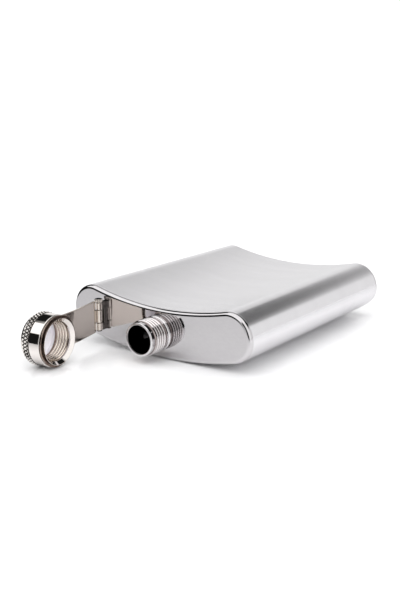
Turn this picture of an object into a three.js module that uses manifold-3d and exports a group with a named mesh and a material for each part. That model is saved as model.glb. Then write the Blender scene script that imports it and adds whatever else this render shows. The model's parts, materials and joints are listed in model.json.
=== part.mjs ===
// Hip flask lying on its convex side, its screw cap unscrewed and swung aside on a hinged arm.
// Millimetres. +X is the flask's width, +Y its length from the neck end to the base, +Z is up.
import * as THREE from 'three';
import { mergeVertices } from 'three/addons/utils/BufferGeometryUtils.js';
import Module from 'manifold-3d';

const wasm = await Module();
wasm.setup();

// Body: a kidney-shaped section, bent to the hip, carried straight from one end plate to the other.
const BODY_WIDTH = 95;
const BODY_LENGTH = 111.6;
const BODY_THICKNESS = 21.36;
const CONCAVE_RADIUS = 144.96;
const CORNER_RADIUS = 10.3;
const SHEET = 0.7;
const PLATE_EDGE_RADIUS = 1.13;
const PLATE_SKIRT = 2.2;
const WELD_GAP = 0.1;

// Neck, along -Y from the middle of the shoulder plate.
const NECK_Z = -0.2;
const NECK_LENGTH = 11.06;
const NECK_BORE_RADIUS = 6.02;
const NECK_LIP_RADIUS = 7.07;
const NECK_LIP_CHAMFER = 0.3;
const NECK_ROOT_RADIUS = 7.0;
const NECK_CREST_RADIUS = 7.65;
const NECK_SHANK_RADIUS = 7.2;
const NECK_FLANGE_RADIUS = 9.3;
const NECK_FLANGE_THICKNESS = 0.75;
const FIT_GAP = 0.25;
const THREAD_PITCH = 1.45;
const NECK_THREAD_START = 2.35;
const NECK_THREAD_LEAD = 0.4;
const NECK_RIDGES = 5;
// Shares of the pitch where a ridge reaches its crest, leaves it and comes back to the root.
const RIDGE_SHARES = [0.35, 0.6, 0.9];

// Hinge: a vertical pin beside the neck, in front of the shoulder plate.
const HINGE_X = -29.6;
const HINGE_Y = -2.95;
const KNUCKLE_RADIUS = 1.3;
const KNUCKLE_BORE_RADIUS = 0.95;
const PIN_RADIUS = 0.75;
const PIN_HEAD_RADIUS = 1.8;
const PIN_SPLINE_DEPTH = 0.25;
const PIN_TAIL_RADIUS = 1.2;
const PIN_HEAD_SPLINES = 14;
// Shares of a tooth's width between which it stands at full height.
const TOOTH_FLANKS = [0.35, 0.65];
const LOWER_KNUCKLE = [-3.3, -0.05];
const ARM_KNUCKLE = [0.25, 5.75];
const UPPER_KNUCKLE = [6.05, 9.1];
const PIN_HEAD = [9.35, 10.9];
const PIN_TAIL = [-4.0, -3.55];
const BRACKET_STRIP = 0.8;
const BRACKET_GAP = 0.15;

// Arm: a strap from the hinge that widens into the flat ring round the cap.
const STRAP_EDGES = [-4.1, 10.2];
const STRAP_START = 1.9;
const STRAP_BEND = 17.5;
const STRAP_END = 26;
const RING_OUTER_RADIUS = 10.8;
const RING_HOLE_RADIUS = 9.5;
const ARM_SHEET = 0.8;
const RING_DEPTH = 1.35;

// Cap. Depths are measured from the plane of its mouth towards its closed end.
const CAP_SEAT_GAP = 0.35;
const CAP_FLANGE_RADIUS = 9.8;
const CAP_FLANGE_THICKNESS = 0.7;
const CAP_FLANGE_CHAMFER = 0.15;
const CAP_JOURNAL_RADIUS = 9.25;
const CAP_LINER_RADIUS = 9.5;
const CAP_LINER_LENGTH = 9.55;
const CAP_LINER_SHOULDER = 0.15;
const CAP_MOUTH_RADIUS = 9.5;
const CAP_BEVEL_DEPTH = 0.75;
const CAP_THREAD_DEPTH = 2.6;
const CAP_ROOT_RADIUS = 8.95;
const CAP_CREST_RADIUS = 8.35;
const CAP_RIDGES = 4;
const CAP_BAND_FRONT = 1.95;
const CAP_BAND_RADIUS = 11;
const CAP_BAND_CHAMFER = 0.2;
const CAP_GROOVE = [7.2, 7.5];
const CAP_GROOVE_RADIUS = 10.6;
const CAP_GROOVE_SLOPE = 0.05;
const CAP_KNURL_END = 10.6;
const CAP_KNURL_RADIUS = 11.3;
const CAP_KNURL_DEPTH = 0.3;
const CAP_KNURL_BASE = 0.3;
const CAP_KNURL_TEETH = 64;
const CAP_HEIGHT = 13.3;
const CAP_DOME_FLAT = 7.4;
const CAP_SHELL_BORE_RADIUS = 9.75;
const CAP_SEAT_DEPTH = 9.7;
const GASKET = { radius: 8.65, cup: 7.95, front: 9.8, face: 11.05, back: 12.05, chamfer: 0.1 };
const GASKET_SEAT_RADIUS = 8.9;

// The arm stands this far from closed, with the cap over the neck at zero.
const OPEN_ANGLE = THREE.MathUtils.degToRad(84);

const MID_RADIUS = CONCAVE_RADIUS + BODY_THICKNESS / 2;
const FACE_STEPS = 15;
const CORNER_STEPS = 6;
const EDGE_STEPS = 2;
const ROUND_STEPS = 36;
const PIN_STEPS = 24;
const PIN_TAIL_STEPS = 3;
const CAP_DOME_STEPS = 6;
const MERGE_DISTANCE = 1e-3;
const WIDTH_TOLERANCE = 1e-6;
const JOIN_OVERLAP = 0.15;
const CUT_MARGIN = 1;

const SATIN_STEEL = { color: 0xc4c4c6, roughness: 0.35, metalness: 1 };
const MIRROR_STEEL = { color: 0xcfc9c6, roughness: 0.12, metalness: 1 };
const BRIGHT_FITTING = { color: 0xccc4ba, roughness: 0.12, metalness: 1 };
const CAP_METAL = { color: 0xd2ccc6, roughness: 0.1, metalness: 1 };
const LINER_METAL = { color: 0xd0c4b4, roughness: 0.2, metalness: 1 };
const SEAL_RUBBER = { color: 0xe4e2e6, roughness: 0.55, metalness: 0 };

function solidFrom(geometry) {
  const bare = geometry.index ? geometry.toNonIndexed() : geometry.clone();
  bare.deleteAttribute('normal');
  bare.deleteAttribute('uv');
  const merged = mergeVertices(bare, MERGE_DISTANCE);
  return new wasm.Manifold(new wasm.Mesh({
    numProp: 3,
    vertProperties: new Float32Array(merged.attributes.position.array),
    triVerts: new Uint32Array(merged.index.array),
  }));
}

function geometryFrom(solid) {
  const mesh = solid.getMesh();
  const geometry = new THREE.BufferGeometry();
  geometry.setAttribute('position', new THREE.BufferAttribute(mesh.vertProperties, 3));
  geometry.setIndex(new THREE.BufferAttribute(mesh.triVerts, 1));
  geometry.computeVertexNormals();
  return geometry;
}

function named(name, geometry, finish) {
  const mesh = new THREE.Mesh(geometry, new THREE.MeshStandardMaterial(finish));
  mesh.name = name;
  return mesh;
}

// A box between two corners.
function block(low, high) {
  const size = high.map((value, axis) => value - low[axis]);
  const geometry = new THREE.BoxGeometry(...size);
  return solidFrom(geometry.translate(...high.map((value, axis) => (value + low[axis]) / 2)));
}

// A round bar on an axis parallel to Z.
function uprightBar(radius, [bottom, top], x = 0, y = 0) {
  const geometry = new THREE.CylinderGeometry(radius, radius, top - bottom, PIN_STEPS);
  return solidFrom(geometry.rotateX(Math.PI / 2).translate(x, y, (top + bottom) / 2));
}

// A round bar on an axis parallel to Y.
function levelBar(radius, [front, back], x = 0, z = 0) {
  const geometry = new THREE.CylinderGeometry(radius, radius, back - front, ROUND_STEPS);
  return solidFrom(geometry.translate(x, (front + back) / 2, z));
}

// Rounding from the tip of a dome down to its rim: [share of the radius, share of the rise].
function domeShares(steps) {
  return Array.from({ length: steps + 1 }, (_, step) => {
    const angle = (step / steps) * Math.PI / 2;
    return [Math.sin(angle), Math.cos(angle)];
  });
}

// A shape turned about the Y axis, from a list of [radius, y]; the outside runs towards +Y.
function turned(profile) {
  return new THREE.LatheGeometry(profile.map(([radius, y]) => new THREE.Vector2(radius, y)), ROUND_STEPS);
}

// A point of the section: along its curved mid-line, and across it towards the convex face.
function sectionPoint(along, across) {
  const angle = along / MID_RADIUS;
  const radius = MID_RADIUS + across;
  return new THREE.Vector2(radius * Math.sin(angle), MID_RADIUS - radius * Math.cos(angle));
}

function sectionOutline(halfArc, inset) {
  const halfDepth = BODY_THICKNESS / 2 - inset;
  const radius = CORNER_RADIUS - inset;
  const reach = halfArc - CORNER_RADIUS;
  const points = [];
  const corner = (side, fromAngle) => {
    for (let step = 0; step <= CORNER_STEPS; step += 1) {
      const angle = fromAngle + (step / CORNER_STEPS) * Math.PI / 2;
      const lean = Math.sign(Math.sin(fromAngle + Math.PI / 4));
      const across = lean * (halfDepth - radius) + radius * Math.sin(angle);
      points.push(sectionPoint(side * reach + radius * Math.cos(angle), across));
    }
  };
  const face = (side, across) => {
    for (let step = 1; step < FACE_STEPS; step += 1) {
      points.push(sectionPoint(side * reach * (1 - 2 * step / FACE_STEPS), across));
    }
  };
  corner(1, -Math.PI / 2);
  corner(1, 0);
  face(1, halfDepth);
  corner(-1, Math.PI / 2);
  corner(-1, Math.PI);
  face(-1, -halfDepth);
  return points.reverse();
}

// Length of half the curved mid-line that makes the section as wide as the body.
function halfArcOfBody() {
  let low = 0;
  let high = BODY_WIDTH;
  while (high - low > WIDTH_TOLERANCE) {
    const middle = (low + high) / 2;
    const widest = Math.max(...sectionOutline(middle, 0).map((point) => point.x));
    if (2 * widest < BODY_WIDTH) low = middle;
    else high = middle;
  }
  return low;
}

// A closed block of the section with rounded edges at both ends.
function sectionBlock(halfArc, inset, edgeRadius) {
  const length = BODY_LENGTH - 2 * inset;
  const geometry = new THREE.ExtrudeGeometry(new THREE.Shape(sectionOutline(halfArc, inset)), {
    depth: length - 2 * edgeRadius,
    bevelThickness: edgeRadius,
    bevelSize: edgeRadius,
    bevelOffset: -edgeRadius,
    bevelSegments: EDGE_STEPS,
  });
  return solidFrom(geometry.rotateX(Math.PI / 2).translate(0, BODY_LENGTH - inset - edgeRadius, 0));
}

function bodyLength(from, to) {
  return block([-BODY_WIDTH, from, -BODY_WIDTH], [BODY_WIDTH, to, BODY_WIDTH]);
}

// The wrapped sheet and the two pressed end plates welded into it.
function bodyPieces() {
  const halfArc = halfArcOfBody();
  const outside = sectionBlock(halfArc, 0, PLATE_EDGE_RADIUS);
  const hollow = sectionBlock(halfArc, SHEET, PLATE_EDGE_RADIUS - SHEET);
  const shell = outside.subtract(hollow);
  const sheetFrom = PLATE_SKIRT + WELD_GAP;
  const neckHole = levelBar(NECK_SHANK_RADIUS + FIT_GAP, [-CUT_MARGIN, PLATE_SKIRT], 0, NECK_Z);
  const shoulder = shell.intersect(bodyLength(-CUT_MARGIN, PLATE_SKIRT)).subtract(neckHole);
  const base = shell.intersect(bodyLength(BODY_LENGTH - PLATE_SKIRT, BODY_LENGTH + CUT_MARGIN));
  const sheet = shell.intersect(bodyLength(sheetFrom, BODY_LENGTH - sheetFrom));
  return [
    named('shoulder_plate', geometryFrom(shoulder), MIRROR_STEEL),
    named('body_sheet', geometryFrom(sheet), SATIN_STEEL),
    named('base_plate', geometryFrom(base), MIRROR_STEEL),
  ];
}

// Rounded ridges between a root and a crest radius, as profile points that run from start by pitch.
function threadRidges(root, crest, start, pitch, ridges) {
  const profile = [];
  const [up, down, foot] = RIDGE_SHARES.map((share) => share * pitch);
  for (let ridge = 0; ridge < ridges; ridge += 1) {
    const y = start + ridge * pitch;
    profile.push([root, y], [crest, y + up], [crest, y + down], [root, y + foot]);
  }
  return profile;
}

function neck() {
  const flangeBack = SHEET + FIT_GAP + NECK_FLANGE_THICKNESS;
  const firstRidge = -NECK_THREAD_START - NECK_RIDGES * THREAD_PITCH + THREAD_PITCH;
  const ridges = threadRidges(NECK_ROOT_RADIUS, NECK_CREST_RADIUS, firstRidge, THREAD_PITCH, NECK_RIDGES);
  const spout = turned([
    [NECK_BORE_RADIUS, flangeBack],
    [NECK_BORE_RADIUS, -NECK_LENGTH + NECK_LIP_CHAMFER],
    [NECK_BORE_RADIUS + NECK_LIP_CHAMFER, -NECK_LENGTH],
    [NECK_LIP_RADIUS - NECK_LIP_CHAMFER, -NECK_LENGTH],
    [NECK_LIP_RADIUS, -NECK_LENGTH + NECK_LIP_CHAMFER],
    [NECK_LIP_RADIUS, firstRidge - NECK_THREAD_LEAD],
    ...ridges,
    [NECK_SHANK_RADIUS, -NECK_THREAD_START + THREAD_PITCH],
    [NECK_SHANK_RADIUS, SHEET + FIT_GAP],
    [NECK_FLANGE_RADIUS, SHEET + FIT_GAP],
    [NECK_FLANGE_RADIUS, flangeBack],
    [NECK_BORE_RADIUS, flangeBack],
  ]);
  return named('neck', spout.translate(0, 0, NECK_Z), BRIGHT_FITTING);
}

// Two ears with their knuckles on a strip that is soldered to the shoulder plate.
function hingeBracket() {
  const stripFront = -BRACKET_GAP - BRACKET_STRIP;
  const left = HINGE_X - KNUCKLE_RADIUS;
  const right = HINGE_X + KNUCKLE_RADIUS;
  const low = LOWER_KNUCKLE[0];
  const high = UPPER_KNUCKLE[1];
  const bore = uprightBar(KNUCKLE_BORE_RADIUS, [low - CUT_MARGIN, high + CUT_MARGIN], HINGE_X, HINGE_Y);
  let solid = block([left, stripFront, low], [right, -BRACKET_GAP, high]);
  for (const knuckle of [LOWER_KNUCKLE, UPPER_KNUCKLE]) {
    const ear = block([left, HINGE_Y, knuckle[0]], [right, stripFront + JOIN_OVERLAP, knuckle[1]]);
    solid = solid.add(ear).add(uprightBar(KNUCKLE_RADIUS, knuckle, HINGE_X, HINGE_Y));
  }
  return named('hinge_bracket', geometryFrom(solid.subtract(bore)), BRIGHT_FITTING);
}

// A wheel outline with equal teeth, for the pin's head and the cap's grip.
function toothedOutline(radius, depth, teeth) {
  const points = [];
  for (let tooth = 0; tooth < teeth; tooth += 1) {
    for (const share of [0, ...TOOTH_FLANKS]) {
      const angle = (tooth + share) / teeth * 2 * Math.PI;
      const reach = share === 0 ? radius - depth : radius;
      points.push(new THREE.Vector2(Math.cos(angle), Math.sin(angle)).multiplyScalar(reach));
    }
  }
  return new THREE.Shape(points);
}

function hingePin() {
  const [headBottom, headTop] = PIN_HEAD;
  const [tailBottom, tailTop] = PIN_TAIL;
  const headOutline = toothedOutline(PIN_HEAD_RADIUS, PIN_SPLINE_DEPTH, PIN_HEAD_SPLINES);
  const head = new THREE.ExtrudeGeometry(headOutline, { depth: headTop - headBottom, bevelEnabled: false });
  const dome = domeShares(PIN_TAIL_STEPS).map(([out, up]) => (
    [PIN_TAIL_RADIUS * out, tailTop - (tailTop - tailBottom) * up]
  ));
  const tail = turned([...dome, [0, tailTop]]).rotateX(Math.PI / 2).translate(HINGE_X, HINGE_Y, 0);
  const shaft = [tailTop - JOIN_OVERLAP, headBottom + JOIN_OVERLAP];
  const solid = uprightBar(PIN_RADIUS, shaft, HINGE_X, HINGE_Y)
    .add(solidFrom(head.translate(HINGE_X, HINGE_Y, headBottom)))
    .add(solidFrom(tail));
  return named('hinge_pin', geometryFrom(solid), BRIGHT_FITTING);
}

// The arm with its origin on the hinge axis, drawn closed: +X to the cap, +Y to the shoulder plate.
function capArm() {
  const reach = -HINGE_X;
  const ringY = -HINGE_Y - CAP_SEAT_GAP - RING_DEPTH;
  const half = ARM_SHEET / 2;
  const rootY = half - KNUCKLE_RADIUS;
  const side = new THREE.Shape([
    [0, rootY - half], [STRAP_BEND, ringY - half], [STRAP_END, ringY - half],
    [STRAP_END, ringY + half], [STRAP_BEND, ringY + half], [0, rootY + half],
  ].map(([x, y]) => new THREE.Vector2(x, y)));
  const [low, high] = STRAP_EDGES;
  const strap = new THREE.ExtrudeGeometry(side, { depth: high - low, bevelEnabled: false });
  const [knuckleLow, knuckleHigh] = ARM_KNUCKLE;
  const notch = (from, to) => (
    block([-STRAP_START, rootY - ARM_SHEET, from], [STRAP_START, ringY + ARM_SHEET, to])
  );
  const solid = solidFrom(strap.translate(0, 0, low))
    .subtract(notch(low - CUT_MARGIN, knuckleLow))
    .subtract(notch(knuckleHigh, high + CUT_MARGIN))
    .add(levelBar(RING_OUTER_RADIUS, [ringY - half, ringY + half], reach, NECK_Z))
    .subtract(levelBar(RING_HOLE_RADIUS, [ringY - CUT_MARGIN, ringY + CUT_MARGIN], reach, NECK_Z))
    .add(uprightBar(KNUCKLE_RADIUS, ARM_KNUCKLE))
    .subtract(uprightBar(KNUCKLE_BORE_RADIUS, [low, high]));
  return named('cap_arm', geometryFrom(solid), BRIGHT_FITTING);
}

// The cap's outer shell: polished band, groove, knurled grip and domed top. Its mouth faces +Y.
function capShell() {
  const [grooveFront, grooveBack] = CAP_GROOVE;
  const domeRise = CAP_HEIGHT - CAP_KNURL_END;
  const dome = domeShares(CAP_DOME_STEPS).map(([out, up]) => (
    [CAP_DOME_FLAT + (CAP_GROOVE_RADIUS - CAP_DOME_FLAT) * out, -CAP_KNURL_END - domeRise * up]
  ));
  const body = solidFrom(turned([
    [0, -CAP_HEIGHT],
    ...dome,
    [CAP_GROOVE_RADIUS, -grooveFront - CAP_GROOVE_SLOPE],
    [CAP_BAND_RADIUS, -grooveFront],
    [CAP_BAND_RADIUS, -CAP_BAND_FRONT - CAP_BAND_CHAMFER],
    [CAP_BAND_RADIUS - CAP_BAND_CHAMFER, -CAP_BAND_FRONT],
    [CAP_SHELL_BORE_RADIUS, -CAP_BAND_FRONT],
    [CAP_SHELL_BORE_RADIUS, -CAP_SEAT_DEPTH],
    [GASKET_SEAT_RADIUS, -CAP_SEAT_DEPTH],
    [GASKET_SEAT_RADIUS, -GASKET.back - FIT_GAP],
    [0, -GASKET.back - FIT_GAP],
  ]));
  const gripOutline = toothedOutline(CAP_KNURL_RADIUS, CAP_KNURL_DEPTH, CAP_KNURL_TEETH);
  const gripLength = CAP_KNURL_END - grooveBack;
  const grip = new THREE.ExtrudeGeometry(gripOutline, { depth: gripLength, bevelEnabled: false });
  const hollow = levelBar(CAP_GROOVE_RADIUS - CAP_KNURL_BASE, [-CAP_KNURL_END - CUT_MARGIN, 0]);
  const knurl = solidFrom(grip.rotateX(Math.PI / 2).translate(0, -grooveBack, 0)).subtract(hollow);
  return named('cap_shell', geometryFrom(body.add(knurl)), CAP_METAL);
}

// The threaded liner pressed into the shell; its flange keeps the arm's ring on the cap.
function capThreadLiner() {
  const lastRidge = -CAP_THREAD_DEPTH - CAP_RIDGES * THREAD_PITCH;
  const ridges = threadRidges(CAP_ROOT_RADIUS, CAP_CREST_RADIUS, lastRidge, THREAD_PITCH, CAP_RIDGES);
  return named('cap_thread_liner', turned([
    [CAP_LINER_RADIUS, -CAP_LINER_LENGTH],
    [CAP_LINER_RADIUS, -CAP_BAND_FRONT - CAP_LINER_SHOULDER],
    [CAP_JOURNAL_RADIUS, -CAP_BAND_FRONT],
    [CAP_JOURNAL_RADIUS, -CAP_FLANGE_THICKNESS],
    [CAP_FLANGE_RADIUS, -CAP_FLANGE_THICKNESS],
    [CAP_FLANGE_RADIUS, -CAP_FLANGE_CHAMFER],
    [CAP_FLANGE_RADIUS - CAP_FLANGE_CHAMFER, 0],
    [CAP_MOUTH_RADIUS, 0],
    [CAP_ROOT_RADIUS, -CAP_BEVEL_DEPTH],
    ...ridges.reverse(),
    [CAP_ROOT_RADIUS, -CAP_LINER_LENGTH],
    [CAP_LINER_RADIUS, -CAP_LINER_LENGTH],
  ]), LINER_METAL);
}

// A soft cup in the closed end of the cap, which the neck's lip seals against.
function capGasket() {
  const { radius, cup, front, face, back, chamfer } = GASKET;
  return named('cap_gasket', turned([
    [0, -back],
    [radius - chamfer, -back],
    [radius, -back + chamfer],
    [radius, -front],
    [cup, -front],
    [cup, -face],
    [0, -face],
  ]), SEAL_RUBBER);
}

const cap = new THREE.Group();
cap.add(capShell(), capThreadLiner(), capGasket());
cap.position.set(-HINGE_X, -HINGE_Y - CAP_SEAT_GAP, NECK_Z);

const arm = new THREE.Group();
arm.add(capArm(), cap);
arm.position.set(HINGE_X, HINGE_Y, 0);
arm.rotation.z = -OPEN_ANGLE;

// The origin is under the middle of the whole object's plan, level with the lowest point of the cap.
const capLowestY = HINGE_Y
  + HINGE_X * Math.sin(OPEN_ANGLE)
  - (HINGE_Y + CAP_SEAT_GAP + CAP_KNURL_END) * Math.cos(OPEN_ANGLE)
  - CAP_KNURL_RADIUS * Math.sin(OPEN_ANGLE);

const hipFlask = new THREE.Group();
hipFlask.add(...bodyPieces(), neck(), hingeBracket(), hingePin(), arm);
hipFlask.position.set(0, -(BODY_LENGTH + capLowestY) / 2, CAP_KNURL_RADIUS - NECK_Z);

export default hipFlask;
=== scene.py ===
# A steel hip flask lying on its convex side, its screw cap swung open on a hinged arm.
# Shapes are drawn in millimetres from the shoulder plate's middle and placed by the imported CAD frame.
import json
import math

import bmesh
import bpy
from mathutils import Matrix, Vector


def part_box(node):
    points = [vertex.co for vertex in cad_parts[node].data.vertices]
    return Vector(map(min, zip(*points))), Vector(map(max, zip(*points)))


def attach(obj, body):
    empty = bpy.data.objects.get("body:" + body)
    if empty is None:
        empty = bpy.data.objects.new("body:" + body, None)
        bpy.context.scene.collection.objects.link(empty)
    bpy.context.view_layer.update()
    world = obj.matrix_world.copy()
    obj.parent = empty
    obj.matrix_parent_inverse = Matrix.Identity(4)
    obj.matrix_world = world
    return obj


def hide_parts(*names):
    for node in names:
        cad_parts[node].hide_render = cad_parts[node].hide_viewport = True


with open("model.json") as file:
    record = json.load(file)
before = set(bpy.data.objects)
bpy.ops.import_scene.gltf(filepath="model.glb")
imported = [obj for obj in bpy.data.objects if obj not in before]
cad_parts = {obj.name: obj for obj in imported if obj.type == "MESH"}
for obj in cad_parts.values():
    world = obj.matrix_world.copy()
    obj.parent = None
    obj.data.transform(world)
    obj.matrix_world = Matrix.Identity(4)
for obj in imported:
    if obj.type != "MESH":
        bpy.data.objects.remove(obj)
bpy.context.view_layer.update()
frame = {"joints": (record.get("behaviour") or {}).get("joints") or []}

MM = 0.001

# ---------------------------------------------------------------- sizes, in millimetres

THICKNESS = 21.36
CONCAVE_RADIUS = 144.96
CORNER_RADIUS = 10.3
SHEET = 0.7
PLATE_EDGE = 1.6
PLATE_SKIRT = 2.2
PLATE_FLAT_INSET = 2.0
# Radii of broken, softened and rounded edges.
EDGE_BREAK = 0.06
EDGE_SOFT = 0.1
EDGE_ROUND = 0.15
# Points round the threads, the cap's shell, the gasket and the hinge's knuckles.
THREAD_STEPS = 160
SHELL_STEPS = 144
GASKET_STEPS = 96
KNUCKLE_STEPS = 96
SEAM = 0.02
FACE_STEPS = 64
CORNER_STEPS = 14
# How far beside an arc its guard points lie, as a share of its radius. They keep smooth-shaded flats flat.
ARC_GUARD = 0.2

NECK_DROP = 0.2
NECK_LENGTH = 11.06
NECK_BORE = 6.02
NECK_BORE_END = -4
NECK_LIP = 7.07
NECK_ROOT = 7.0
NECK_CREST = 7.65
NECK_SHANK = 7.2
NECK_HOLE = 7.45
NECK_FLANGE = 9.3
NECK_FLANGE_Y = (0.95, 1.7)
NECK_HOLE_GUARD = 0.6
BRAZE_WIDTH = 0.55
BRAZE_LENGTH = 0.57
BRAZE_Y = -0.6
THREAD_PITCH = 1.45
NECK_THREAD_Y = (-8.9, -1.6)
# How much of a pitch a thread takes to rise from nothing, and its rows to a pitch.
THREAD_RUN = 0.6
THREAD_ROWS = 12

KNUCKLE = 1.3
KNUCKLE_BORE = 0.95
KNUCKLE_EDGE = 0.16
LOWER_KNUCKLE = (-3.3, -0.05)
ARM_KNUCKLE = (0.25, 5.75)
UPPER_KNUCKLE = (6.05, 9.1)
BRACKET_FRONT = 0.95
STRIP_HALF_WIDTH = 1.2
STRIP_EDGE = 0.18
PIN = 0.75
PIN_HEAD = 1.8
PIN_HEAD_Z = (9.35, 10.9)
PIN_TAIL = 1.2
PIN_TAIL_Z = (-4.0, -3.55)
PIN_SPLINES = 14
SPLINE_DEPTH = 0.28

STRAP_Z = (-4.1, 10.2)
STRAP_START = 1.9
STRAP_BEND = 17.5
STRAP_BEND_SOFTNESS = 2.5
STRAP_CORNER = 0.9
STRAP_EDGE_START = 1.2
STRAP_STEPS = 26
ARM_SHEET = 0.8
ARM_EDGE = 0.22
TONGUE_EDGE = 0.12
RING_OUTER = 10.8
RING_HOLE = 9.5
RING_DEPTH = 1.35
RING_STEPS = 96
CLOSED_GAP = 0.35

CAP_FLANGE = 9.8
CAP_FLANGE_DEPTH = 0.7
CAP_JOURNAL = 9.25
CAP_LINER = 9.5
CAP_LINER_DEPTH = 9.55
CAP_MOUTH = 9.6
CAP_BEVEL_DEPTH = 1.45
CAP_THREAD_DEPTH = 2.0
CAP_ROOT = 8.25
CAP_CREST = 7.8
CAP_BAND_FRONT = 1.95
CAP_BAND = 11.0
CAP_GROOVE_DEPTH = 7.2
CAP_GROOVE = 10.6
CAP_KNURL_DEPTH = (7.5, 10.6)
CAP_KNURL = 11.3
KNURL_TEETH = 46
KNURL_ROWS = 2
KNURL_CUTS = 4
KNURL_HEIGHT = 0.5
KNURL_FLANK = 0.72
KNURL_MARGIN = 0.06
CAP_HEIGHT = 13.3
CAP_DOME_FLAT = 7.4
CAP_SHELL_BORE = 9.75
CAP_SEAT_DEPTH = 9.7
GASKET = 8.65
GASKET_CUP = 7.95
GASKET_DEPTH = (9.8, 11.05, 12.05)
GASKET_SEAT = 8.9
GASKET_GAP = 0.25

# ---------------------------------------------------------------- places, from the frame

JOINTS = {joint["name"]: joint for joint in frame["joints"]}
PLATE_LOW, PLATE_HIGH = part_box("shoulder_plate")
BASE_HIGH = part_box("base_plate")[1]
NECK_BOX_LOW, NECK_BOX_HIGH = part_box("neck")

LENGTH = (BASE_HIGH.y - PLATE_LOW.y) / MM
WIDTH = (PLATE_HIGH.x - PLATE_LOW.x) / MM
MIDDLE_Z = (NECK_BOX_LOW.z + NECK_BOX_HIGH.z) / 2 + NECK_DROP * MM
FLASK_PLACE = Matrix.Translation((0, PLATE_LOW.y, MIDDLE_Z)) @ Matrix.Scale(MM, 4)

HINGE = Vector(JOINTS["arm_swing"]["pos_m"])
MOUTH = Vector(JOINTS["cap_spin"]["pos_m"])
MOUTH_AXIS = Vector(JOINTS["cap_spin"]["axis"])
OPEN_TURN = Matrix.Rotation(math.atan2(-MOUTH_AXIS.x, MOUTH_AXIS.y), 4, "Z")
ARM_PLACE = Matrix.Translation((HINGE.x, HINGE.y, MIDDLE_Z)) @ OPEN_TURN @ Matrix.Scale(MM, 4)
CAP_PLACE = Matrix.Translation(MOUTH) @ OPEN_TURN @ Matrix.Scale(MM, 4)
HINGE_X = HINGE.x / MM
HINGE_Y = (HINGE.y - PLATE_LOW.y) / MM

# ---------------------------------------------------------------- mesh making


def bridge(rings, loop=True):
    """A skin over rings with the same number of points. A ring of one point closes it to a tip."""
    points, faces, starts = [], [], []
    for ring in rings:
        starts.append(len(points))
        points.extend(ring)
    pairs = list(zip(range(len(rings)), range(1, len(rings))))
    if loop:
        pairs.append((len(rings) - 1, 0))
    for near, far in pairs:
        count = max(len(rings[near]), len(rings[far]))
        for step in range(count):
            corners = []
            for ring, at in ((near, step), (near, step + 1), (far, step + 1), (far, step)):
                index = starts[ring] + at % len(rings[ring])
                if index not in corners:
                    corners.append(index)
            faces.append(corners)
    return points, faces


def eased(corners, closed=True, steps=5):
    """A profile of (x, y, radius) corners with each corner turned by an arc."""
    outline = []
    count = len(corners)
    for index, (x, y, radius) in enumerate(corners):
        here = Vector((x, y))
        at_end = not closed and index in (0, count - 1)
        if at_end or radius == 0:
            outline.append((x, y))
            continue
        back = (Vector(corners[index - 1][:2]) - here).normalized()
        ahead = (Vector(corners[(index + 1) % count][:2]) - here).normalized()
        opening = back.angle(ahead)
        reach = radius / math.tan(opening / 2)
        centre = here + (back + ahead).normalized() * radius / math.sin(opening / 2)
        first = here + back * reach
        last = here + ahead * reach
        guard = ARC_GUARD * radius
        outline.append(tuple(first + back * guard))
        turn = math.pi - opening
        for step in range(steps + 1):
            share = math.sin((step / steps) * turn)
            rest = math.sin((1 - step / steps) * turn)
            spoke = ((first - centre) * rest + (last - centre) * share) / math.sin(turn)
            outline.append(tuple(centre + spoke))
        outline.append(tuple(last + ahead * guard))
    return outline


def circle(radius, steps):
    """Points of (radius, angle); the radius may be a function of the angle."""
    angles = [2 * math.pi * step / steps for step in range(steps)]
    return [(radius(angle) if callable(radius) else radius, angle) for angle in angles]


def turned(profile, steps, drop=0.0, loop=True):
    """A skin turned about the Y axis through rows of (radius, y)."""
    rings = []
    for radius, y in profile:
        if not callable(radius) and radius == 0:
            rings.append([(0, y, -drop)])
            continue
        rings.append([(r * math.cos(a), y, r * math.sin(a) - drop) for r, a in circle(radius, steps)])
    return bridge(rings, loop)


def upright(profile, steps, x, y, loop=True):
    """A skin turned about an axis parallel to Z through rows of (radius, z)."""
    rings = []
    for radius, z in profile:
        if not callable(radius) and radius == 0:
            rings.append([(x, y, z)])
            continue
        rings.append([(x + r * math.cos(a), y + r * math.sin(a), z) for r, a in circle(radius, steps)])
    return bridge(rings, loop)


def smooth_step(low, high, value):
    share = min(1.0, max(0.0, (value - low) / (high - low)))
    return share * share * (3 - 2 * share)


def make_piece(name, shells, place, materials, body, node, flat_from=None):
    """One object from skins of (points, faces), which take the materials of the list in turn.

    Skins past the end of the list take its last material. Skins from flat_from on are shaded flat.
    """
    mesh = bpy.data.meshes.new(name)
    points, faces, material_of = [], [], []
    for index, (shell_points, shell_faces) in enumerate(shells):
        offset = len(points)
        points.extend(shell_points)
        faces.extend([[corner + offset for corner in face] for face in shell_faces])
        material_of.extend([index] * len(shell_faces))
    mesh.from_pydata(points, [], faces)
    mesh.transform(place)
    order = list(dict.fromkeys(materials))
    for material in order:
        mesh.materials.append(material)
    for polygon, shell in zip(mesh.polygons, material_of):
        polygon.material_index = order.index(materials[min(shell, len(materials) - 1)])
        polygon.use_smooth = flat_from is None or shell < flat_from
    cleaned = bmesh.new()
    cleaned.from_mesh(mesh)
    bmesh.ops.recalc_face_normals(cleaned, faces=cleaned.faces)
    cleaned.to_mesh(mesh)
    cleaned.free()
    piece = bpy.data.objects.new(name, mesh)
    bpy.context.scene.collection.objects.link(piece)
    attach(piece, body)
    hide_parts(node)


# ---------------------------------------------------------------- node materials

# Height in metres of the waves in polished metal, and how closely they follow one another.
WAVE_HEIGHT = 0.000002
PLATE_WAVES = 90
CAP_WAVES = 120
FITTING_WAVES = 160
FITTING_POLISH = (0.03, 0.08)
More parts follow.
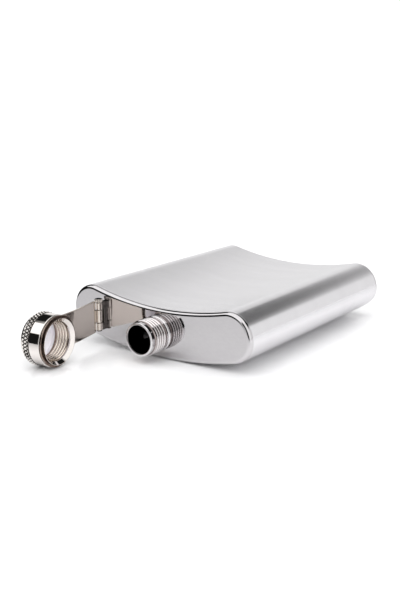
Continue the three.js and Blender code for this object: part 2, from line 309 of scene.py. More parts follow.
# The board is solid to one distance from its middle and clear from the other, in metres.
BOARD_MIDDLE = (0.05, 0.1, 0)
BOARD_FADE = (0.3, 0.34)


class Shader:
    """A node material with a Principled shader, and short ways to add nodes to it."""

    def __init__(self, name):
        self.material = bpy.data.materials.new(name)
        self.material.use_nodes = True
        self.tree = self.material.node_tree
        self.principled = self.tree.nodes["Principled BSDF"]
        self.place = self.add("ShaderNodeTexCoord").outputs["Object"]

    def add(self, kind, inputs=None, **settings):
        node = self.tree.nodes.new(kind)
        for key, value in settings.items():
            setattr(node, key, value)
        for key, value in (inputs or {}).items():
            self.put(node.inputs[key], value)
        return node

    def put(self, socket, value):
        if isinstance(value, bpy.types.NodeSocket):
            self.tree.links.new(value, socket)
        else:
            socket.default_value = value

    def set(self, **inputs):
        for key, value in inputs.items():
            self.put(self.principled.inputs[key.replace("_", " ")], value)

    def noise(self, scale, stretch=(1, 1, 1), detail=3.0, roughness=0.55, offset=(0, 0, 0)):
        mapped = {"Vector": self.place, "Scale": stretch, "Location": offset}
        vector = self.add("ShaderNodeMapping", mapped).outputs["Vector"]
        settings = {"Vector": vector, "Scale": scale, "Detail": detail, "Roughness": roughness}
        return self.add("ShaderNodeTexNoise", settings).outputs["Fac"]

    def span(self, value, low, high, from_low=0.3, from_high=0.7):
        ends = {"Value": value, "From Min": from_low, "From Max": from_high, "To Min": low, "To Max": high}
        return self.add("ShaderNodeMapRange", ends).outputs["Result"]

    def vector_math(self, operation, *values):
        return self.add("ShaderNodeVectorMath", dict(enumerate(values)), operation=operation).outputs

    def blend(self, share, first, second):
        """Two colours blended by a share. The first may be a colour worked out by other nodes."""
        mix = self.add("ShaderNodeMix", data_type="RGBA")
        self.put(mix.inputs["Factor"], share)
        self.put(mix.inputs["A"], first if isinstance(first, bpy.types.NodeSocket) else (*first, 1))
        self.put(mix.inputs["B"], (*second, 1))
        return mix.outputs["Result"]

    def from_axis(self, point, axis):
        """Distance from a straight line, in metres."""
        away = self.vector_math("SUBTRACT", self.place, point)["Vector"]
        across = self.vector_math("CROSS_PRODUCT", away, axis)["Vector"]
        return self.vector_math("LENGTH", across)["Value"]

    def bump(self, height, distance, strength=1.0):
        settings = {"Height": height, "Distance": distance, "Strength": strength}
        return self.add("ShaderNodeBump", settings).outputs["Normal"]


def satin_steel():
    """Steel brushed round the body, in fine lines that spread reflections along the length."""
    shader = Shader("satin_steel")
    lines = shader.noise(1.0, (120, 7000, 120), detail=3, roughness=0.6)
    bands = shader.noise(1.0, (10, 160, 10), detail=2, offset=(3, 1, 2))
    tone = shader.blend(shader.span(bands, 0, 1), (0.695, 0.683, 0.70), (0.725, 0.713, 0.73))
    shader.set(Base_Color=tone, Metallic=1.0, Roughness=shader.span(lines, 0.17, 0.24), Anisotropic=0.75,
               Anisotropic_Rotation=0.25)
    tangent = shader.add("ShaderNodeTangent", direction_type="RADIAL", axis="Y")
    shader.set(Tangent=tangent.outputs["Tangent"])
    shader.set(Normal=shader.bump(lines, 0.0000015, 0.6))
    return shader.material


def mirror_steel(name, colour, polish, wave_scale, dark=None):
    """Buffed metal: clear reflections that swim a little, with a faint haze of polishing marks.

    Polish is the lowest and highest roughness. Dark, when given, paints shade into the colour of hollows
    round an
    axis: a point and a direction of the axis, the distances from it in millimetres where the metal is still
    bright and fully shaded, and the colour of the painted shade.
    """
    shader = Shader(name)
    haze = shader.noise(420, (1, 1, 2.5), detail=4, roughness=0.65)
    swim = shader.noise(wave_scale, detail=1, offset=(2, 7, 3))
    darker = tuple(0.95 * channel for channel in colour)
    tone = shader.blend(shader.span(haze, 0, 1), darker, colour)
    # Painted shade: the colour darkens to the shade colour over a band of distances from the axis, mottled
    # by the haze.
    if dark:
        point, axis, bright_radius, dark_radius, shade_colour = dark
        far = shader.from_axis(point, axis)
        mottled = shader.span(haze, 0.75, 1.0)
        painted_shade_mask = shader.span(far, 0, 1, bright_radius * MM, dark_radius * MM)
        share = shader.add("ShaderNodeMath", {0: painted_shade_mask, 1: mottled}, operation="MULTIPLY").outputs[0]
        tone = shader.blend(share, tone, shade_colour)
    shader.set(Base_Color=tone, Metallic=1.0, Roughness=shader.span(haze, *polish))
    shader.set(Normal=shader.bump(swim, WAVE_HEIGHT))
    return shader.material


def seal_rubber():
    shader = Shader("white_seal_rubber")
    grain = shader.noise(2600, detail=3)
    clouds = shader.noise(220, detail=2, offset=(4, 4, 0))
    tone = shader.blend(shader.span(clouds, 0, 1), (0.88, 0.86, 0.91), (0.94, 0.92, 0.96))
    shader.set(Base_Color=tone, Roughness=shader.span(grain, 0.42, 0.6), IOR=1.42)
    shader.set(Normal=shader.bump(grain, 0.00001))
    return shader.material


def board_gloss():
    """The white glossy board the flask lies on. It fades out round a point behind the flask."""
    shader = Shader("white_board")
    specks = shader.noise(180, detail=2)
    tone = shader.blend(shader.span(specks, 0, 1), (0.86, 0.86, 0.87), (0.88, 0.88, 0.885))
    shader.set(Base_Color=tone, Roughness=0.16, IOR=1.45)
    reach = shader.from_axis(BOARD_MIDDLE, (0, 0, 1))
    solid_to, clear_from = BOARD_FADE
    fade = shader.add("ShaderNodeMapRange", {"Value": reach, "From Min": solid_to, "From Max": clear_from},
                      interpolation_type="SMOOTHSTEP")
    clear = shader.add("ShaderNodeBsdfTransparent")
    mix = shader.add("ShaderNodeMixShader", {"Fac": fade.outputs["Result"]})
    output = shader.tree.nodes["Material Output"]
    shader.tree.links.new(shader.principled.outputs["BSDF"], mix.inputs[1])
    shader.tree.links.new(clear.outputs["BSDF"], mix.inputs[2])
    shader.tree.links.new(mix.outputs["Shader"], output.inputs["Surface"])
    return shader.material


# Axes round which hollows get painted shade.
NECK_LINE = (Vector((0, 0, MIDDLE_Z - NECK_DROP * MM)), Vector((0, 1, 0)))
CAP_LINE = (MOUTH, MOUTH_AXIS)
HINGE_LINE = (HINGE, Vector((0, 0, 1)))

FITTING_COLOUR = (0.66, 0.60, 0.545)
# The brown below is painted shade for the groove between the cap's band and its mouth rim.
PAINTED_GROOVE_SHADE = (0.10, 0.06, 0.045)

SATIN = satin_steel()
PLATE = mirror_steel("polished_plate_steel", (0.57, 0.555, 0.565), (0.03, 0.07), PLATE_WAVES)
BRIGHT = mirror_steel("polished_fitting_metal", FITTING_COLOUR, FITTING_POLISH, FITTING_WAVES)
# Painted shade: the bracket goes near black further than 1.6 mm from the pin, on the strip behind the
# knuckles.
BRACKET = mirror_steel("polished_bracket_metal", FITTING_COLOUR, FITTING_POLISH, FITTING_WAVES,
                       (*HINGE_LINE, 1.34, 1.6, (0.035, 0.03, 0.03)))
# Painted shade: the pin goes dark in the valleys of its splined head and on its shank, within 1.52 mm of the
# axis.
PIN_METAL = mirror_steel("splined_pin_metal", (0.74, 0.69, 0.63), FITTING_POLISH, FITTING_WAVES,
                         (*HINGE_LINE, 1.72, 1.52, (0.06, 0.05, 0.05)))
# Painted shade: the arm's ring goes dark brown within 10.75 mm of the cap's axis, for the shaded groove
# between band and rim.
RING = mirror_steel("ring_with_painted_groove_shade", FITTING_COLOUR, (0.05, 0.12), FITTING_WAVES,
                    (*CAP_LINE, 11.0, 10.75, PAINTED_GROOVE_SHADE))
# Painted shade: the neck's bore is painted near black within 6.2 mm of its axis.
SPOUT = mirror_steel("polished_neck_metal", (0.74, 0.72, 0.725), FITTING_POLISH, FITTING_WAVES,
                     (*NECK_LINE, 6.45, 6.2, (0.02, 0.018, 0.018)))
# Painted shade: the thread's valleys go dark brown within 7.1 mm of the neck's axis.
SCREW = mirror_steel("neck_thread_metal", (0.74, 0.71, 0.71), (0.04, 0.1), FITTING_WAVES,
                     (*NECK_LINE, 7.5, 7.1, (0.16, 0.12, 0.11)))
CAP_METAL = mirror_steel("polished_cap_metal", (0.76, 0.72, 0.69), (0.02, 0.05), CAP_WAVES)
# Painted shade: the knurl's valleys are painted near black within 11.02 mm of the cap's axis.
GRIP = mirror_steel("knurled_cap_metal", (0.78, 0.75, 0.72), (0.05, 0.1), CAP_WAVES,
                    (*CAP_LINE, 11.12, 11.02, (0.02, 0.016, 0.015)))
# Painted shade: the liner's thread roots go dark brown beyond 8.2 mm from the cap's axis.
LINER_METAL = mirror_steel("threaded_liner_metal", (0.82, 0.745, 0.665), (0.14, 0.22), FITTING_WAVES,
                           (*CAP_LINE, 7.98, 8.2, (0.20, 0.14, 0.11)))
# Painted shade: the flange's outer rim goes dark brown beyond 9.78 mm from the cap's axis, for the groove
# between band and rim.
FLANGE_METAL = mirror_steel("flange_side_with_painted_shade", (0.80, 0.75, 0.70), (0.05, 0.1), FITTING_WAVES,
                            (*CAP_LINE, 9.66, 9.78, PAINTED_GROOVE_SHADE))
RUBBER = seal_rubber()

# ---------------------------------------------------------------- the body

MID_RADIUS = CONCAVE_RADIUS + THICKNESS / 2


def section_point(along, across):
    """A point of the body's section: along its curved mid-line, and across it towards the convex face."""
    angle = along / MID_RADIUS
    radius = MID_RADIUS + across
    return radius * math.sin(angle), MID_RADIUS - radius * math.cos(angle)


def section(inset, half_arc):
    """The body's outline, moved inwards by inset."""
    radius = CORNER_RADIUS - inset
    reach = half_arc - CORNER_RADIUS
    straight = (THICKNESS / 2 - inset) - radius
    outline = []

    def corner(side, quarter):
        for step in range(CORNER_STEPS + 1):
            angle = (quarter + step / CORNER_STEPS) * math.pi / 2
            lean = straight if quarter in (0, 1) else -straight
            along = side * reach + radius * math.cos(angle)
            outline.append(section_point(along, lean + radius * math.sin(angle)))

    def face(side, across):
        for step in range(1, FACE_STEPS):
            outline.append(section_point(side * reach * (1 - 2 * step / FACE_STEPS), across))

    corner(1, -1)
    corner(1, 0)
    face(1, straight + radius)
    corner(-1, 1)
    corner(-1, 2)
    face(-1, -straight - radius)
    return outline


def half_arc_for(width):
    """Half the length of the mid-line that gives the section this width."""
    low, high = 0.0, width
    while high - low > 1e-6:
        middle = (low + high) / 2
        if 2 * max(x for x, _ in section(0, middle)) < width:
            low = middle
        else:
            high = middle
    return low


HALF_ARC = half_arc_for(WIDTH)


def section_ring(inset, y):
    return [(x, y, z) for x, z in section(inset, HALF_ARC)]


def hole_ring(radius, y):
    """A round ring about the neck, with its points in the directions of the section's points."""
    ring = []
    for x, z in section(0, HALF_ARC):
        spoke = Vector((x, z + NECK_DROP)).normalized() * radius
        ring.append((spoke.x, y, spoke.y - NECK_DROP))
    return ring


def skirt_profile(deep):
    """Rows of (inset, y) of a pressed end plate, from its flat outside round to its flat inside."""
    return eased([(deep, 0, 0), (0, 0, PLATE_EDGE), (0, PLATE_SKIRT, EDGE_BREAK),
                  (SHEET, PLATE_SKIRT, EDGE_BREAK), (SHEET, SHEET, PLATE_EDGE - SHEET), (deep, SHEET, 0)],
                 closed=False, steps=8)


def body_sheet():
    start = PLATE_SKIRT + SEAM
    end = LENGTH - start
    corners = ((0, start), (0, end), (SHEET, end), (SHEET, start))
    profile = eased([(inset, y, EDGE_BREAK) for inset, y in corners])
    skin = bridge([section_ring(inset, y) for inset, y in profile])
    make_piece("brushed_body_sheet", [skin], FLASK_PLACE, [SATIN], "flask", "body_sheet")


def end_plate(name, node, holed, place):
    profile = skirt_profile(PLATE_FLAT_INSET)
    rings = [section_ring(inset, y) for inset, y in profile]
    if holed:
        around = NECK_HOLE + NECK_HOLE_GUARD
        rim = eased([(around, SHEET, 0), (NECK_HOLE, SHEET, EDGE_SOFT), (NECK_HOLE, 0, EDGE_SOFT),
                     (around, 0, 0)], closed=False)
        rings.extend(hole_ring(radius, y) for radius, y in rim)
    else:
        rings.insert(0, [(0, 0, 0)])
        rings.append([(0, SHEET, 0)])
    skin = bridge(rings, loop=holed)
    make_piece(name, [skin], place, [PLATE], "flask", node)


body_sheet()
end_plate("polished_shoulder_plate", "shoulder_plate", True, FLASK_PLACE)
FAR_END = FLASK_PLACE @ Matrix.Translation((0, LENGTH, 0)) @ Matrix.Scale(-1, 4, (0, 1, 0))
end_plate("polished_base_plate", "base_plate", False, FAR_END)

# ---------------------------------------------------------------- the neck


def screw(root, crest, y, start, end):
    """The radius at y of a right-hand thread between start and end, as a function of the angle."""
    run = THREAD_RUN * THREAD_PITCH
    swell = smooth_step(start, start + run, y) * (1 - smooth_step(end - run, end, y))

    def radius(angle):
        turn = y / THREAD_PITCH + angle / (2 * math.pi)
        wave = 0.5 + 0.5 * math.cos(2 * math.pi * turn)
        return root + (crest - root) * swell * (1 - (1 - wave) ** 2)

    return radius


def thread_rows(root, crest, start, end):
    count = round((end - start) / THREAD_PITCH * THREAD_ROWS)
    rows = [start + (end - start) * step / count for step in range(count + 1)]
    return [(screw(root, crest, y, start, end), y) for y in rows]


def neck():
    start, end = NECK_THREAD_Y
    flange_front, flange_back = NECK_FLANGE_Y
    lip = eased([(NECK_BORE, NECK_BORE_END, 0), (NECK_BORE, -NECK_LENGTH, 0.4),
                 (NECK_LIP, -NECK_LENGTH, 0.35), (NECK_LIP, start - 0.35, 0.08),
                 (NECK_ROOT, start - 0.2, 0)], closed=False)
    foot = eased([(NECK_SHANK, end + 0.3, 0), (NECK_SHANK, -SEAM, 0), (NECK_SHANK, flange_front, 0),
                  (NECK_FLANGE, flange_front, EDGE_SOFT), (NECK_FLANGE, flange_back, EDGE_SOFT),
                  (NECK_BORE, flange_back, 0.2)], closed=False)
    braze = []
    for degrees in range(0, 91, 15):
        angle = math.radians(degrees)
        spread = BRAZE_WIDTH * (1 - math.cos(angle))
        braze.append((NECK_SHANK + spread, BRAZE_Y + BRAZE_LENGTH * math.sin(angle)))
    foot = foot[:1] + braze + foot[1:] + lip[:1]
    thread = lip[-1:] + thread_rows(NECK_ROOT, NECK_CREST, start, end) + foot[:1]
    skins = [turned(rows, THREAD_STEPS, NECK_DROP, loop=False) for rows in (lip, thread, foot)]
    make_piece("threaded_neck", skins, FLASK_PLACE, [SPOUT, SCREW, SPOUT], "flask", "neck")


neck()

# ---------------------------------------------------------------- the hinge


def ear_reach(angle, inset):
    """Radius of a knuckle's outline: round in front of the pin, straight-sided back to the strip."""
    side = KNUCKLE - inset
    back = -HINGE_Y - BRACKET_FRONT + 0.1
    if math.sin(angle) <= 0:
        return side
    return min(side / max(abs(math.cos(angle)), 1e-6), back / math.sin(angle))


def sleeve(reach, bore, low, high, edge):
    """Rows of a sleeve with softened ends; reach gives its outline for an angle and an inset."""
    rows = eased([(0, low, edge), (0, high, edge), (1, high, 0), (1, low, 0)])
    rings = []
    for inset, z in rows:
        if inset == 1:
            radius = bore
        else:
            radius = lambda angle, inset=inset: reach(angle, inset)
        rings.append((radius, z))
    return rings


def rounded_block(low, high, edge):
    """A box between two corners with its upright edges and its ends rounded."""
    middle = [(a + b) / 2 for a, b in zip(low, high)]
    half = [(b - a) / 2 for a, b in zip(low, high)]
    bottom, top = low[2], high[2]
    rows = eased([(0, bottom, 0), (half[0], bottom, edge), (half[0], top, edge), (0, top, 0)], closed=False)
    rings = []
    for reach, z in rows:
        if reach == 0:
            rings.append([(middle[0], middle[1], z)])
            continue
        inset = half[0] - reach
        corners = [(middle[0] + sx * (half[0] - inset), middle[1] + sy * (half[1] - inset), edge)
                   for sx, sy in ((1, 1), (-1, 1), (-1, -1), (1, -1))]
        rings.append([(x, y, z) for x, y in eased(corners, steps=3)])
    return bridge(rings, loop=False)


def hinge_bracket():
    strip = rounded_block((HINGE_X - STRIP_HALF_WIDTH, -BRACKET_FRONT, LOWER_KNUCKLE[0]),
                          (HINGE_X + STRIP_HALF_WIDTH, -SEAM, UPPER_KNUCKLE[1]), STRIP_EDGE)
    ears = []
    for knuckle in (LOWER_KNUCKLE, UPPER_KNUCKLE):
        rows = sleeve(ear_reach, KNUCKLE_BORE, *knuckle, KNUCKLE_EDGE)
        ears.append(upright(rows, KNUCKLE_STEPS, HINGE_X, HINGE_Y))
    make_piece("hinge_bracket_knuckles", [strip, *ears], FLASK_PLACE, [BRACKET], "flask", "hinge_bracket")


def splined(radius, depth):
    """The radius of a head with equal rounded splines, as a function of the angle."""

    def reach(angle):
        wave = 0.5 + 0.5 * math.cos(PIN_SPLINES * angle)
        return radius - depth * (1 - wave ** 0.5)

    return reach


def hinge_pin():
    tail_low, tail_high = PIN_TAIL_Z
    head_low, head_high = PIN_HEAD_Z
    rows = [(0, tail_low)]
    for degrees in range(15, 91, 15):
        angle = math.radians(degrees)
        rows.append((PIN_TAIL * math.sin(angle), tail_high - (tail_high - tail_low) * math.cos(angle)))
    rows += [(PIN_TAIL - 0.05, tail_high + 0.05), (PIN, tail_high + 0.05), (PIN, head_low - SEAM)]
    rows += [(PIN_HEAD - 0.35, head_low), (splined(PIN_HEAD - 0.12, 0.2), head_low + 0.05)]
    rows += [(splined(PIN_HEAD, SPLINE_DEPTH), z) for z in (head_low + 0.2, head_high - 0.4)]
    rows += [(splined(PIN_HEAD - 0.08, 0.25), head_high - 0.25)]
    rows += [(splined(PIN_HEAD - 0.25, 0.16), head_high - 0.12)]
    rows += [(PIN_HEAD - 0.5, head_high - 0.03), (PIN_HEAD - 0.9, head_high), (0, head_high)]
    skin = upright(rows, PIN_SPLINES * 10, HINGE_X, HINGE_Y, loop=False)
    make_piece("splined_hinge_pin", [skin], FLASK_PLACE, [PIN_METAL], "flask", "hinge_pin")


hinge_bracket()
hinge_pin()

# ---------------------------------------------------------------- the arm

REACH = -HINGE_X
RING_Y = -HINGE_Y - CLOSED_GAP - RING_DEPTH
STRAP_ROOT_Y = ARM_SHEET / 2 - KNUCKLE


def strap_y(x):
    """The middle of the arm's sheet: it leans from the hinge to the ring's plane, with a soft bend."""
    slope = (RING_Y - STRAP_ROOT_Y) / STRAP_BEND
    soft = STRAP_BEND_SOFTNESS
    if x <= STRAP_BEND - soft:
        return STRAP_ROOT_Y + slope * x
    if x >= STRAP_BEND + soft:
        return RING_Y
    left = STRAP_BEND + soft - x
    return RING_Y - slope * left * left / (4 * soft)


def joint_angle(z):
    """Where round the ring the strap's edge at this height meets it."""
    rise = z + NECK_DROP
    return math.atan2(rise, -math.sqrt(RING_OUTER**2 - rise**2))


def arm_outline():
    """The arm's outer edge in its own plane: round the ring, then round the strap's end and back."""
    low, high = STRAP_Z
    bottom, top = joint_angle(low), joint_angle(high)
    outline = []
    for step in range(RING_STEPS + 1):
        angle = bottom + (top - bottom) * step / RING_STEPS
        outline.append((REACH + RING_OUTER * math.cos(angle), RING_OUTER * math.sin(angle) - NECK_DROP))
    upper_joint, lower_joint = outline[-1], outline[0]
    end = eased([(*upper_joint, 0), (STRAP_START, high, STRAP_CORNER), (STRAP_START, low, STRAP_CORNER),
                 (*lower_joint, 0)], closed=False, steps=6)[1:-1]
    edge_start = STRAP_START + STRAP_EDGE_START
    shares = [step / STRAP_STEPS for step in range(1, STRAP_STEPS)]
    outline.extend((upper_joint[0] + (edge_start - upper_joint[0]) * share, high) for share in shares)
    outline.extend(end)
    outline.extend((edge_start + (lower_joint[0] - edge_start) * share, low) for share in shares)
    return outline


def outward(outline):
    """Unit directions out of a closed outline at each of its points."""
    directions = []
    count = len(outline)
    for index in range(count):
        before = Vector(outline[index - 1])
        after = Vector(outline[(index + 1) % count])
        along = (after - before).normalized()
        directions.append(Vector((along.y, -along.x)))
    return directions


def arm():
    outer = arm_outline()
    out = outward(outer)
    centre = Vector((REACH, -NECK_DROP))
    half = ARM_SHEET / 2
    margin = 1.3 * ARM_EDGE
    spokes = [(Vector(point) - centre).normalized() for point in outer]

    def ring(share, inset, lift):
        """Points round the sheet, between the ring's hole at share 0 and the outer edge at share 1."""
        points = []
        for point, direction, spoke in zip(outer, out, spokes):
            rim = Vector(point) - direction * (inset if share == 1 else margin)
            hole = centre + spoke * (RING_HOLE + (inset if share == 0 else margin))
            at = hole.lerp(rim, share)
            points.append((at.x, strap_y(at.x) + lift, at.y))
        return points

    def rounding(share, first):
        """Rows over a rounded edge of the sheet. First is 1 or -1, for the face that the rows end on."""
        rows = []
        for step in range(7):
            angle = math.radians(-90 + 30 * step)
            side = (step > 3) - (step < 3)
            lift = first * (side * (half - ARM_EDGE) + ARM_EDGE * math.sin(angle))
            rows.append(ring(share, ARM_EDGE * (1 - math.cos(angle)), lift))
        return rows

    between = [step / 20 for step in range(1, 20)]
    rows = rounding(1, 1)
    rows += [ring(share, 0, half) for share in reversed(between)]
    rows += rounding(0, -1)
    rows += [ring(share, 0, -half) for share in between]
    sheet = bridge(rows)
    knuckle = sleeve(lambda angle, inset: KNUCKLE - inset, KNUCKLE_BORE, *ARM_KNUCKLE, KNUCKLE_EDGE)
    barrel = upright(knuckle, 72, 0, 0)
    tongue = rounded_block((KNUCKLE_BORE, STRAP_ROOT_Y - half + SEAM, ARM_KNUCKLE[0]),
                           (STRAP_START + 0.3, STRAP_ROOT_Y + half - SEAM, ARM_KNUCKLE[1]), TONGUE_EDGE)
    make_piece("captive_arm_and_ring", [sheet, barrel, tongue], ARM_PLACE, [RING, BRIGHT, BRIGHT], "arm",
               "cap_arm")


arm()

# ---------------------------------------------------------------- the cap


def knurl_lift(column, row):
    """Height of the knurl at a point of its grid: 0 in the crossing diagonal valleys and 1 on top."""
    across = (column % KNURL_CUTS) / KNURL_CUTS
    along = (row % KNURL_CUTS) / KNURL_CUTS
    if (column // KNURL_CUTS + row // KNURL_CUTS) % 2:
        across = 1 - across
    return min(abs(across - along), KNURL_FLANK) / KNURL_FLANK


def knurl_band():
    """A closed band of small blunt pyramids between diagonal valleys."""
    front, back = CAP_KNURL_DEPTH
    columns = KNURL_TEETH * 2 * KNURL_CUTS
    rows = KNURL_ROWS * KNURL_CUTS
    valley = CAP_KNURL - KNURL_HEIGHT

    def ring(radius_at, y):
        angles = [2 * math.pi * column / columns for column in range(columns)]
        return [(radius_at(column) * math.cos(angle), y, radius_at(column) * math.sin(angle))
                for column, angle in enumerate(angles)]

    depth = [[knurl_lift(column, row) for column in range(columns)] for row in range(rows + 1)]
    points, faces = [], []
    for row in range(rows + 1):
        y = -front - (back - front) * (KNURL_MARGIN + (1 - 2 * KNURL_MARGIN) * row / rows)
        points.extend(ring(lambda column: valley + KNURL_HEIGHT * depth[row][column], y))
    for row in range(rows):
        for column in range(columns):
            after = (column + 1) % columns
            a, b = row * columns + column, row * columns + after
            c, d = b + columns, a + columns
            falling = depth[row][column] + depth[row + 1][after]
            rising = depth[row][after] + depth[row + 1][column]
            faces.extend([(a, b, c), (a, c, d)] if falling <= rising else [(a, b, d), (b, c, d)])
    rim, inside = valley - 0.15, CAP_GROOVE - 0.2
    first = len(points)
    for y, radius in ((-front, rim), (-front, inside), (-back, inside), (-back, rim)):
        points.extend(ring(lambda column: radius, y))
    starts = [0] + [first + columns * index for index in range(4)] + [rows * columns]
    for near, far in zip(starts, starts[1:]):
        for column in range(columns):
            after = (column + 1) % columns
            faces.append((near + column, near + after, far + after, far + column))
    return points, faces


def cap_shell():
    knurl_end = CAP_KNURL_DEPTH[1]
    rise = CAP_HEIGHT - knurl_end
    dome = [(0, -CAP_HEIGHT), (CAP_DOME_FLAT * 0.6, -CAP_HEIGHT)]
    for degrees in range(90, 0, -6):
        angle = math.radians(degrees)
        dome.append((CAP_DOME_FLAT + (CAP_GROOVE - CAP_DOME_FLAT) * math.cos(angle),
                     -knurl_end - rise * math.sin(angle)))
    closed_end = -GASKET_DEPTH[2] - GASKET_GAP
    wall = eased([(CAP_GROOVE, -knurl_end, 0), (CAP_GROOVE, -CAP_GROOVE_DEPTH - 0.02, EDGE_BREAK),
                  (CAP_BAND, -CAP_GROOVE_DEPTH, EDGE_ROUND), (CAP_BAND, -CAP_BAND_FRONT, 0.3),
                  (CAP_SHELL_BORE, -CAP_BAND_FRONT, 0.08), (CAP_SHELL_BORE, -CAP_SEAT_DEPTH, EDGE_SOFT),
                  (GASKET_SEAT, -CAP_SEAT_DEPTH, EDGE_SOFT), (GASKET_SEAT, closed_end, EDGE_SOFT),
                  (0, closed_end, 0)], closed=False)
    body = turned(dome + wall, SHELL_STEPS, loop=False)
    make_piece("knurled_cap_shell", [body, knurl_band()], CAP_PLACE, [CAP_METAL, GRIP], "cap", "cap_shell",
               flat_from=1)


def cap_liner():
    thread = thread_rows(CAP_ROOT, CAP_CREST, -CAP_LINER_DEPTH + 0.7, -CAP_THREAD_DEPTH)
    outside = eased([(CAP_ROOT, -CAP_LINER_DEPTH, EDGE_SOFT), (CAP_LINER, -CAP_LINER_DEPTH, EDGE_ROUND),
                     (CAP_LINER, -CAP_BAND_FRONT - 0.15, 0.05), (CAP_JOURNAL, -CAP_BAND_FRONT, 0.05),
                     (CAP_JOURNAL, -CAP_FLANGE_DEPTH, 0.08), (CAP_FLANGE, -CAP_FLANGE_DEPTH, EDGE_SOFT),
                     (CAP_FLANGE, 0, 0.12), (CAP_MOUTH, 0, 0)], closed=False)
    outer_skin = turned(outside, THREAD_STEPS, loop=False)
    bevel = eased([(CAP_MOUTH, 0, 0), (CAP_MOUTH, -EDGE_BREAK, 0.02),
                   (CAP_ROOT, -CAP_BEVEL_DEPTH, EDGE_ROUND), (CAP_ROOT, -CAP_THREAD_DEPTH, 0)], closed=False)
    mouth_skin = turned(bevel, THREAD_STEPS, loop=False)
    inside = bevel[-1:] + thread[::-1] + [(CAP_ROOT, -CAP_LINER_DEPTH)]
    thread_skin = turned(inside, THREAD_STEPS, loop=False)
    make_piece("threaded_cap_liner", [outer_skin, mouth_skin, thread_skin], CAP_PLACE,
               [FLANGE_METAL, CAP_METAL, LINER_METAL], "cap", "cap_thread_liner")


def gasket():
    front, face, back = GASKET_DEPTH
    profile = eased([(0, -back, 0), (GASKET, -back, 0.25), (GASKET, -front, 0.2), (GASKET_CUP, -front, 0.2),
                     (GASKET_CUP, -face, 0.3), (0, -face, 0)], closed=False)
    skin = turned(profile, GASKET_STEPS, loop=False)
    make_piece("sealing_gasket", [skin], CAP_PLACE, [RUBBER], "cap", "cap_gasket")


cap_shell()
cap_liner()
gasket()

# ---------------------------------------------------------------- camera, board and light

# The camera's place from the shoulder plate's middle in metres, its heading, and its lens in millimetres.
CAMERA_OFFSET = (0.22339, -0.26738, 0.10795)
CAMERA_HEADING = (-0.579, 0.7729, -0.2598)
CAMERA_LENS = 52.11
# Half the board's side, and the gap under the flask, in metres.
BOARD_HALF_SIDE = 0.6
BOARD_GAP = 0.00002
# Brightness of the dark room, the soft ceiling and the backdrop, and where the ceiling fades in.
ROOM_LEVEL = 0.012
CEILING_LEVEL = 1.5
CEILING_EDGE = (0.755, 0.8)
BACKDROP_LEVEL = 1.15
# Each soft panel: azimuth and elevation of its middle, half width and height, brightness, softness of edge.
SOFT_PANELS = (
    (-5, 10, 62, 19, 1.03, 0.1),
    (60, 14, 34, 15, 1.03, 0.06),
    (-34, 27, 12, 12, 0.78, 0.08),
    (-148, 44, 36, 17, 1.6, 0.03),
    (100, 28, 30, 32, 1.3, 0.08),
    (180, 4, 15, 13, 0.75, 0.12),
)
# Lamps that light the board and leave reflections alone: place in metres, width in metres, watts.
FILL_LAMPS = (
    ((0, 0, 0.6), 1.6, 4.6),
    ((0.55, -0.15, 0.16), 0.5, 1.6),
)


def look():
    """The viewing angle: from the front right, a little above, with a short telephoto lens."""
    data = bpy.data.cameras.new("camera")
    camera = bpy.data.objects.new("camera", data)
    bpy.context.scene.collection.objects.link(camera)
    target = Vector((0, PLATE_LOW.y, MIDDLE_Z))
    camera.location = target + Vector(CAMERA_OFFSET)
    camera.rotation_mode = "QUATERNION"
    camera.rotation_quaternion = Vector(CAMERA_HEADING).to_track_quat("-Z", "Y")
    data.sensor_width = 36
    data.lens = CAMERA_LENS
    data.clip_start = 0.01
    data.clip_end = 50
    bpy.context.scene.camera = camera


def board():
    """The board tips a little, so that the flask rests on its belly and on the cap's grip."""
    cap_low, cap_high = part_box("cap_shell")
    rest_x = (cap_low.x + cap_high.x) / 2
    belly = (CONCAVE_RADIUS + THICKNESS) * MM
    belly_centre_z = MIDDLE_Z + MID_RADIUS * MM
    tilt = 0.0
    for _ in range(20):
        floor_at_rest = belly_centre_z - belly / math.cos(tilt) + math.tan(tilt) * rest_x
        tilt += (floor_at_rest - cap_low.z) / abs(rest_x)
    mesh = bpy.data.meshes.new("board")
    signs = ((-1, -1), (1, -1), (1, 1), (-1, 1))
    corners = [(x * BOARD_HALF_SIDE, y * BOARD_HALF_SIDE, 0) for x, y in signs]
    mesh.from_pydata(corners, [], [(0, 1, 2, 3)])
    mesh.materials.append(board_gloss())
    floor = bpy.data.objects.new("board", mesh)
    bpy.context.scene.collection.objects.link(floor)
    floor.location = (0, 0, belly_centre_z - belly / math.cos(tilt) - BOARD_GAP)
    floor.rotation_euler = (0, -tilt, 0)


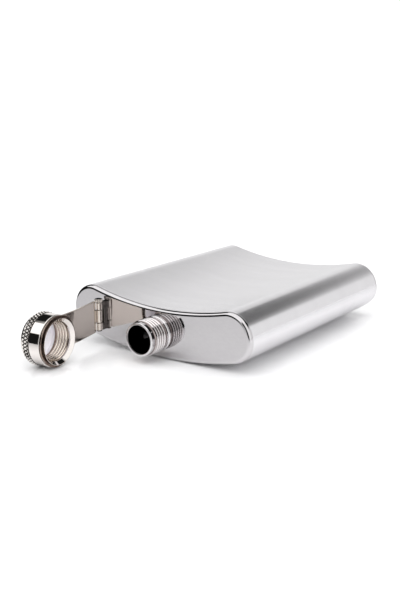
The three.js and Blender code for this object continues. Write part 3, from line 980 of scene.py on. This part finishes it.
def studio():
    """White all round for the camera. Reflections and light come from soft panels in a dark room."""
    world = bpy.data.worlds.new("studio")
    bpy.context.scene.world = world
    world.use_nodes = True
    tree = world.node_tree
    tree.nodes.clear()

    def add(kind, inputs=None, **settings):
        node = tree.nodes.new(kind)
        for key, value in settings.items():
            setattr(node, key, value)
        for key, value in (inputs or {}).items():
            if isinstance(value, bpy.types.NodeSocket):
                tree.links.new(value, node.inputs[key])
            else:
                node.inputs[key].default_value = value
        return node

    direction = add("ShaderNodeTexCoord").outputs["Generated"]

    def math_node(operation, *values):
        return add("ShaderNodeMath", dict(enumerate(values)), operation=operation).outputs[0]

    def along(vector):
        product = add("ShaderNodeVectorMath", {0: direction, 1: vector}, operation="DOT_PRODUCT")
        return product.outputs["Value"]

    def ramp(value, start, end, low, high):
        ends = {"Value": value, "From Min": start, "From Max": end, "To Min": low, "To Max": high}
        return add("ShaderNodeMapRange", ends, interpolation_type="SMOOTHSTEP").outputs["Result"]

    def card(azimuth, elevation, half_width, half_height, level, soft):
        """Light from a soft-edged rectangle. Azimuth 0 is +Y and 90 is +X; half sizes are in degrees."""
        az, el = math.radians(azimuth), math.radians(elevation)
        ahead = Vector((math.sin(az) * math.cos(el), math.cos(az) * math.cos(el), math.sin(el)))
        right = Vector((math.cos(az), -math.sin(az), 0))
        up = right.cross(ahead)
        depth = math_node("MAXIMUM", along(ahead), 0.001)
        mask = level
        for axis, half in ((right, half_width), (up, half_height)):
            offset = math_node("ABSOLUTE", math_node("DIVIDE", along(axis), depth))
            limit = math.tan(math.radians(half))
            mask = math_node("MULTIPLY", mask, ramp(offset, limit - soft, limit + soft, 1.0, 0.0))
        return mask

    height = add("ShaderNodeSeparateXYZ", {0: direction}).outputs["Z"]
    total = math_node("MAXIMUM", ROOM_LEVEL, ramp(height, *CEILING_EDGE, 0.0, CEILING_LEVEL))
    for panel in SOFT_PANELS:
        total = math_node("MAXIMUM", total, card(*panel))
    shown = add("ShaderNodeBackground", {"Color": (1, 1, 1, 1), "Strength": BACKDROP_LEVEL})
    felt = add("ShaderNodeBackground", {"Color": (1, 1, 1, 1), "Strength": total})
    seen = add("ShaderNodeLightPath").outputs["Is Camera Ray"]
    mix = add("ShaderNodeMixShader", {0: seen, 1: felt.outputs[0], 2: shown.outputs[0]})
    add("ShaderNodeOutputWorld", {"Surface": mix.outputs[0]})
    bpy.context.scene.view_settings.view_transform = "Standard"


def fill_lamps():
    for index, (place, width, watts) in enumerate(FILL_LAMPS):
        data = bpy.data.lights.new(f"fill_lamp_{index}", "AREA")
        data.shape = "SQUARE"
        data.size = width
        data.energy = watts
        lamp = bpy.data.objects.new(f"fill_lamp_{index}", data)
        bpy.context.scene.collection.objects.link(lamp)
        lamp.location = place
        lamp.rotation_mode = "QUATERNION"
        lamp.rotation_quaternion = (-Vector(place)).to_track_quat("-Z", "Y")
        lamp.visible_glossy = False
        lamp.visible_camera = False


look()
board()
studio()
fill_lamps()
